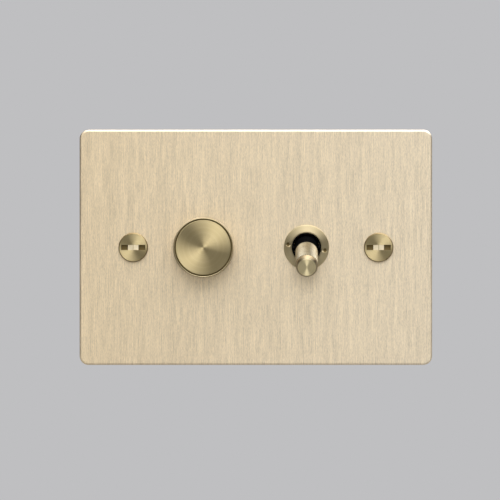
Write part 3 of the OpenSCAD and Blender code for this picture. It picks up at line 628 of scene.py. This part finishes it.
def slot_cutter(x, head_y, side):
    """One half of the head's slot: a deep pocket, and a shallow ramp that rises to the middle."""
    top, inner, crest_depth = head_y - 1, 0.1, 0.06
    outline = [(inner, top), (SLOT_HALF_L, top), (SLOT_HALF_L, head_y + SLOT_DEPTH),
               (SLOT_RAMP_HALF_L, head_y + SLOT_DEPTH), (SLOT_RAMP_HALF_L, head_y + SLOT_RAMP_DEPTH),
               (inner, head_y + crest_depth)]
    count = len(outline)
    points = [(x + side * px, py, z) for z in (-SLOT_HALF_W, SLOT_HALF_W) for px, py in outline]
    faces = [tuple(range(count)), tuple(range(2 * count - 1, count - 1, -1))]
    faces += [(i, (i + 1) % count, count + (i + 1) % count, count + i) for i in range(count)]
    return add_object("cutter", mesh_from("cutter", points, faces))


def screw_rings(head_r, head_y, tip_y):
    """Head, thin neck through the plate, and thread."""
    thread_r, neck_r, point_r, point_l = 1.75, 1.45, 0.95, 0.8
    edge_y = head_y + SCREW_CHAMFER
    rings = [plain(0, head_y), plain(head_r * 0.6, head_y), plain(head_r - SCREW_CHAMFER, head_y),
             plain(head_r - 0.03, edge_y - 0.03), plain(head_r, edge_y + 0.05)]
    rings += [plain(head_r, FRONT_Y - 0.1), plain(head_r - 0.1, FRONT_Y), plain(neck_r, FRONT_Y),
              plain(neck_r, 0), plain(thread_r - THREAD_RELIEF, 0)]
    rings += thread_rows(thread_r, 0.1, tip_y - point_l)
    return rings + [plain(point_r, tip_y), plain(0, tip_y)]


def build_screw(name, node_name, material, pocket_material, ramp_material, edge_material):
    low, high = box_mm(node_name)
    head_r, head_y = radius_mm(node_name), low[1]
    x = centre_mm(node_name)[0]
    obj = place(add_object(name, turned_mesh(name, screw_rings(head_r, head_y, high[1]), HOLE_SIDES)), x)
    for side in (-1, 1):
        cut(obj, slot_cutter(x, head_y, side))
    shade(obj.data)
    finish_piece(obj, "wall_unit", material, "turned_brass", node_name)

    def zone(px, py, pz):
        """0 for the head's face and the shank, 1 for a pocket, 2 for a ramp, 3 for the head's edge."""
        in_slot = abs(pz) < SLOT_HALF_W + 0.005 and abs(px) < SLOT_HALF_L + 0.05
        if in_slot and head_y + 0.01 < py < head_y + SLOT_DEPTH + 0.05:
            on_ramp = abs(px) < SLOT_RAMP_HALF_L - 0.01 and py < head_y + SLOT_RAMP_DEPTH + 0.01
            return 2 if on_ramp else 1
        return 3 if math.hypot(px, pz) > head_r - SCREW_CHAMFER else 0

    # The pockets get painted shade, the ramps a painted highlight and the head's edge a painted dark outline.
    assign_extra(obj, [pocket_material, ramp_material, edge_material], zone)


def build_ring_nut(material, hole_material):
    radius, front = radius_mm("ring_nut"), box_mm("ring_nut")[0][1]
    bore_r, thread_r, lip, rounding = 5.0, 6.0, 0.6, 0.25
    edge_y = front + RING_FALL
    rings = [plain(bore_r + 0.3, front), plain(bore_r + 0.45, front + 0.02), plain(radius - rounding, edge_y)]
    rings += quarter(radius, edge_y, rounding)
    rings += [plain(radius, FRONT_Y), plain(thread_r, FRONT_Y), plain(thread_r, front + lip),
              plain(bore_r, front + lip), plain(bore_r, front + 0.3)]
    obj = place(add_object("ring", turned_mesh("ring", rings, closed=True)), TOGGLE_X)

    hole_at, hole_r, hole_sides = 6.35, 0.6, 24
    mouth_y, countersink_y, hole_y = front - 0.2, front + 0.4, front + 0.75
    drill = [plain(0, mouth_y), plain(hole_r + countersink_y - mouth_y, mouth_y),
             plain(hole_r, countersink_y), plain(hole_r, hole_y - 0.3), plain(0, hole_y)]
    turns = [math.radians(degrees) for degrees in (9.0, 189.0)]
    for a in turns:
        tool = add_object("cutter", turned_mesh("cutter", drill, hole_sides))
        cut(obj, place(tool, TOGGLE_X + hole_at * math.cos(a), 0, -hole_at * math.sin(a)))
    shade(obj.data)
    finish_piece(obj, "wall_unit", material, "turned_brass", "ring_nut")

    def in_hole(x, y, z):
        offsets = [math.hypot(x - hole_at * math.cos(a), z + hole_at * math.sin(a)) for a in turns]
        return min(offsets) < hole_r and y > countersink_y - 0.05

    # The holes' deep faces are painted shade.
    assign_extra(obj, [hole_material], in_hole)


def build_lever_grip(material):
    start, end, chamfer = 4.5, LEVER_REACH - LEVER_CAP_L, 0.3
    shoulder_r = LEVER_R - KNURL_RELIEF - 0.1
    rings = [plain(LEVER_STEM_R, -start), plain(shoulder_r, -start)]
    rings += knurl_rows(LEVER_R, -start - chamfer, -end + chamfer, LEVER_KNURL_PITCH)
    rings += [plain(shoulder_r, -end), plain(LEVER_STEM_R, -end)]
    mesh = turned_mesh("lever_grip", rings, knurl_sides(LEVER_R, LEVER_KNURL_PITCH), closed=True)
    obj = place(add_object("lever_grip", mesh), *PIVOT, tilt=LEVER_TILT)
    finish_piece(obj, "lever", material, "brushed_brass", "lever_sleeve")


def build_lever_tip(face_material, side_material):
    cap_r, bevel, stub_r, stub_l = LEVER_R - 0.17, 0.6, 1.25, 1.3
    front, back = -LEVER_REACH, LEVER_CAP_L - LEVER_REACH
    rings = [plain(0, front), plain(cap_r - bevel - 0.08, front), plain(cap_r - bevel, front + 0.05),
             plain(cap_r - 0.05, front + bevel - 0.02), plain(cap_r, front + bevel + 0.06),
             plain(cap_r, back), plain(stub_r, back), plain(stub_r, back - stub_l), plain(0, back - stub_l)]
    mesh = turned_mesh("lever_tip", rings, sharp_angle=25)
    obj = place(add_object("lever_tip", mesh), *PIVOT, tilt=LEVER_TILT)
    finish_piece(obj, "lever", face_material, "turned_brass", "lever_cap")
    assign_extra(obj, [side_material], lambda x, y, z: y > front + 0.06)


def spring_mesh(name, mean_r, wire_r, start, end, turns):
    """A compression spring about the y axis, wound closer towards its ends."""
    sides, steps, closing = 10, 24, 0.4
    rings = turns * steps
    rise = end - start - 2 * wire_r
    points, faces = [], []
    for i in range(rings + 1):
        share, turn = i / rings, 2 * math.pi * i / steps
        eased = share - closing * math.sin(2 * math.pi * share) / (2 * math.pi)
        for j in range(sides):
            around = 2 * math.pi * j / sides
            r = mean_r + wire_r * math.cos(around)
            depth = start + wire_r + rise * eased + wire_r * math.sin(around)
            points.append((r * math.cos(turn), depth, r * math.sin(turn)))
    for i in range(rings):
        for j in range(sides):
            a, b = i * sides + j, i * sides + (j + 1) % sides
            faces.append((a, b, b + sides, a + sides))
    faces += [tuple(range(sides)), tuple(range(rings * sides, (rings + 1) * sides))]
    return mesh_from(name, points, faces, 60.0)


def shorten(spring):
    """Gives a placed spring a mesh of its own."""
    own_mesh(spring)


def build_return_spring(material):
    """Pushes the dimmer's switch plunger forward, and so the knob."""
    wire_r = 0.25
    low, high = box_mm("return_spring")
    start, end = low[1] + SPRING_GAP, high[1]
    mesh = spring_mesh("return_coil", radius_mm("return_spring") - wire_r, wire_r, start, end, turns=4)
    spring = place(add_object("return_coil", mesh), DIMMER_X)
    finish_piece(spring, "wall_unit", material, "spring_steel", "return_spring")
    shorten(spring)


def build_plunger_spring(material):
    """Pushes the plunger out of the lever's tail."""
    wire_r, bore_start, plunger_start = 0.18, 4.5, 7.9
    end = plunger_start - SPRING_GAP
    mesh = spring_mesh("plunger_coil", radius_mm("plunger_spring") - wire_r, wire_r, bore_start, end, turns=5)
    spring = place(add_object("plunger_coil", mesh), *PIVOT, tilt=LEVER_TILT)
    finish_piece(spring, "lever", material, "spring_steel", "plunger_spring")
    shorten(spring)


def dress(material, *names):
    """Gives CAD nodes a material."""
    for name in names:
        obj = nodes[name]
        obj.data.materials.clear()
        obj.data.materials.append(material)


def soften(width_mm, *names):
    """Rounds the sharp edges of CAD nodes, as moulding or tumbling leaves them."""
    for name in names:
        bevel = nodes[name].modifiers.new("soft_edges", "BEVEL")
        bevel.width = width_mm * MM
        bevel.segments = 2
        bevel.limit_method = "ANGLE"
        bevel.angle_limit = math.radians(50)
        bevel.harden_normals = True


studio()

# The plate's right side is painted lighter than its left, as painted light.
plate_brass = brushed_brass("plate_brass", (0.79, 0.645, 0.415), (0.845, 0.718, 0.503))
# Copies of one spun brass whose base colours differ as painted light and shade: the ring's and knob rim's is
# lighter, the lever tip face's much lighter, the tip side's darker.
spun_face = spun_brass("spun_face", (0.61, 0.50, 0.265), (0.54, 0.43, 0.21), SPUN_TURN)
spun_plain_painted_light = spun_brass("spun_plain_painted_light", (0.66, 0.55, 0.32), (0.58, 0.48, 0.27))
spun_tip_painted_light = spun_brass("spun_tip_painted_light", (0.98, 0.85, 0.50), (0.90, 0.76, 0.42), roughness=(0.48, 0.54))
spun_side_painted_shade = spun_brass("spun_side_painted_shade", (0.46, 0.37, 0.22), (0.38, 0.30, 0.17), roughness=(0.3, 0.36))
# The knob's and the grip's knurls are copies of one brass: the grip's is much darker, with near-black
# grooves, as painted shade.
knob_knurl = knurled_brass("knob_knurl", KNOB_R, (0.80, 0.70, 0.50), (0.34, 0.26, 0.15))
grip_knurl = knurled_brass("grip_knurl", LEVER_R, (0.40, 0.355, 0.245), (0.03, 0.025, 0.014))
# Dark brass for the screws' slot pockets, the knob disc's groove and the ring nut's spanner holes: painted
# shade in these recesses.
recess_painted_shade = metal("recess_painted_shade", (0.20, 0.15, 0.06), (0.13, 0.09, 0.035), (0.5, 0.65))
# Darker brass for the screw heads' chamfered edges: a painted dark outline in place of the edge's dark
# reflection.
edge_painted_shade = metal("edge_painted_shade", (0.36, 0.29, 0.16), (0.26, 0.20, 0.10), (0.25, 0.35))
# Very light brass for the ramps in the screws' slots: a painted highlight.
ramp_painted_highlight = metal("ramp_painted_highlight", (0.95, 0.82, 0.55), (0.86, 0.73, 0.46), (0.35, 0.5),
                     grain=(200, 200, 2500))
terminal_brass = metal("terminal_brass", (0.80, 0.64, 0.32), (0.70, 0.54, 0.25))
zinc = metal("zinc_plate", (0.72, 0.74, 0.77), (0.60, 0.61, 0.62))
spring_steel = metal("spring_steel", (0.56, 0.57, 0.6), (0.45, 0.46, 0.48), (0.18, 0.3))
aluminium = metal("aluminium_sheet", (0.82, 0.82, 0.84), (0.72, 0.72, 0.74), grain=(200, 200, 3000))
silver = metal("silver_alloy", (0.9, 0.9, 0.87), (0.8, 0.79, 0.75))
copper = metal("copper_alloy", (0.78, 0.45, 0.28), (0.66, 0.36, 0.22))
# Black nylon, made darker than nylon is as painted shade in the toggle's hole round the lever.
black_nylon = plastic("black_nylon", (0.003, 0.003, 0.003), (0.002, 0.002, 0.002), (0.6, 0.75), specular=0.02)
black_steel = metal("black_steel", (0.02, 0.019, 0.018), (0.012, 0.012, 0.012), (0.45, 0.6))
black_phenolic = plastic("black_phenolic", (0.018, 0.018, 0.019), (0.011, 0.011, 0.012), (0.3, 0.45))
pale_plastic = plastic("pale_plastic", (0.50, 0.49, 0.455), (0.45, 0.44, 0.40), (0.42, 0.58))
board = plastic("circuit_board", (0.03, 0.14, 0.06), (0.02, 0.10, 0.045), (0.25, 0.4))
phenolic_paper = plastic("phenolic_paper", (0.30, 0.16, 0.07), (0.22, 0.11, 0.05))
carbon = plastic("carbon_ink", (0.02, 0.02, 0.02), (0.012, 0.012, 0.012), (0.5, 0.7))
ferrite = plastic("ferrite", (0.05, 0.053, 0.056), (0.035, 0.036, 0.038), (0.6, 0.75))
film = plastic("film_yellow", (0.75, 0.5, 0.05), (0.66, 0.43, 0.04), (0.15, 0.25))

build_plate(plate_brass)
build_knob_body(knob_knurl, spun_plain_painted_light)
build_knob_disc(spun_face, recess_painted_shade)
build_screw("screw_left", "fixing_screw_left", spun_face, recess_painted_shade, ramp_painted_highlight, edge_painted_shade)
build_screw("screw_right", "fixing_screw_right", spun_face, recess_painted_shade, ramp_painted_highlight, edge_painted_shade)
build_ring_nut(spun_plain_painted_light, recess_painted_shade)
build_lever_grip(grip_knurl)
build_lever_tip(spun_tip_painted_light, spun_side_painted_shade)
build_return_spring(spring_steel)
build_plunger_spring(spring_steel)

dress(terminal_brass, "earth_terminal", "dimmer_terminals", "common_terminal", "line_terminal_1",
      "line_terminal_2")
dress(zinc, "mounting_strap", "earth_screw", "spindle", "dimmer_bushing", "dimmer_nut", "dimmer_washer",
      "case_screws", "pot_housing", "triac_screw", "dimmer_terminal_screws", "toggle_cover",
      "housing_screws", "lever_stem", "toggle_terminal_screws")
dress(spring_steel, "knob_grub_screw")
dress(black_steel, "pivot_pin")
dress(aluminium, "heat_sink")
dress(silver, "switch_plunger", "thermal_fuse", "rocker_contacts", "fixed_contacts")
dress(copper, "wiper_contact", "choke_winding", "contact_rocker")
dress(black_nylon, "screw_retainers", "wiper_rotor", "socket_liner", "pivot_ball")
dress(black_phenolic, "push_switch_case", "triac", "toggle_neck", "toggle_housing")
dress(pale_plastic, "dimmer_case", "plunger")
dress(board, "pcb")
dress(phenolic_paper, "resistor_wafer")
dress(carbon, "carbon_track")
dress(ferrite, "choke_core")
dress(film, "capacitor")


soften(0.35, "dimmer_case", "toggle_housing")
soften(0.12, "mounting_strap", "heat_sink", "toggle_cover", "earth_terminal", "dimmer_nut")


def build_stage():
    """A plain pale floor, well below the part."""
    z = PLATE_LOW[2] - FLOOR_DROP
    corners = [(sx * FLOOR_HALF, sy * FLOOR_HALF, z) for sx, sy in ((-1, -1), (1, -1), (1, 1), (-1, 1))]
    floor = add_object("floor", mesh_from("floor", corners, [(0, 1, 2, 3)]))
    paint = plastic("floor_paint", (0.21, 0.208, 0.2), (0.2, 0.198, 0.19), (0.7, 0.8), grain=200)
    floor.data.materials.append(paint)


def build_camera():
    """Straight on, from far enough to show hardly any perspective."""
    distance, view_width, sensor_width = 2500.0, 170.2, 36.0
    aim = Vector((-2.01, FRONT_Y, -0.87))
    data = bpy.data.cameras.new("camera")
    data.sensor_width = sensor_width
    data.lens = sensor_width * distance / view_width
    data.clip_end = 20.0
    camera = bpy.data.objects.new("camera", data)
    bpy.context.scene.collection.objects.link(camera)
    camera.location = (aim - Vector((0, distance, 0))) * MM
    camera.rotation_euler = (math.pi / 2, 0, 0)
    bpy.context.scene.camera = camera


build_stage()
build_camera()
bpy.context.scene.view_settings.view_transform = "Standard"

bpy.context.view_layer.update()
